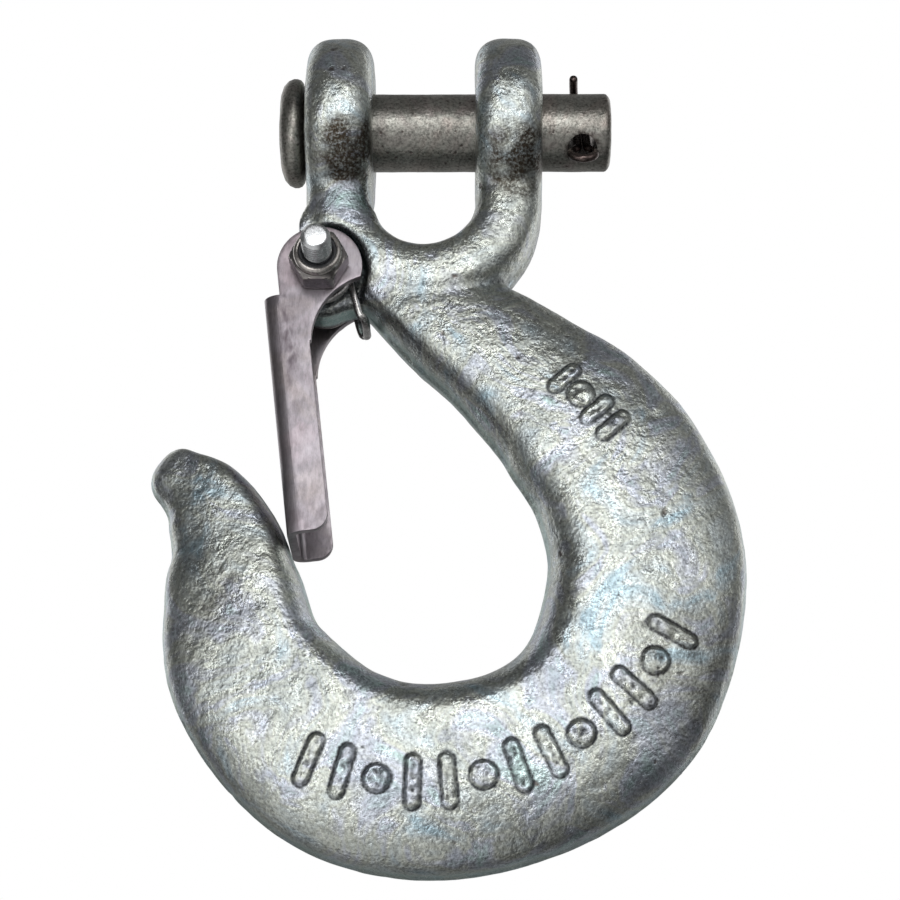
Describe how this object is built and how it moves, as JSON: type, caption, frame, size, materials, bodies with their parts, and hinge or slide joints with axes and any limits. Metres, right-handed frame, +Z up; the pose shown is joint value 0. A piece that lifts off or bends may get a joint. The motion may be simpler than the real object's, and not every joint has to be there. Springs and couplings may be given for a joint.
{
  "type": "safety chain hook",
  "caption": "Forged clevis slip hook for a trailer safety chain, with a clevis pin and cotter and a sprung latch that closes its throat.",
  "frame": {"origin": "on the clevis pin's axis, midway between the two ears, where the chain's last link sits", "axes": "+Z up along the hanging hook, +X to the right along the clevis pin towards its cotter, -Y to the front"},
  "size_m": [0.0791, 0.0305, 0.1185],
  "materials": {
    "forged_zinc": "zinc plated over a grainy forged skin",
    "pin_steel": "dull plated steel, grainy",
    "cotter_steel": "dark wire",
    "latch_zinc": "smooth zinc plated sheet",
    "bolt_zinc": "bright zinc",
    "nut_steel": "dark polished steel",
    "black_nylon": "moulded",
    "spring_steel": "drawn wire"
  },
  "bodies": {
    "hook": {"hook_body": "forged_zinc", "latch_bolt": "bolt_zinc", "latch_nut": "nut_steel", "nut_insert": "black_nylon", "latch_spring": "spring_steel"},
    "latch": {"latch": "latch_zinc"},
    "clevis_pin": {"clevis_pin": "pin_steel", "cotter_pin": "cotter_steel"}
  },
  "joints": [
    {"name": "latch_pivot", "type": "hinge", "parent": "hook", "child": "latch", "pos_m": [-0.0141, 0, -0.0237], "axis": [0, -1, 0], "range_deg": [0, 36], "stiffness_Nm_per_rad": 0.02, "springref_deg": -57.3, "deforming": ["latch_spring"]},
    {"name": "pin_turn", "type": "hinge", "parent": "hook", "child": "clevis_pin", "pos_m": [0, 0, 0], "axis": [1, 0, 0], "continuous": true}
  ]
}
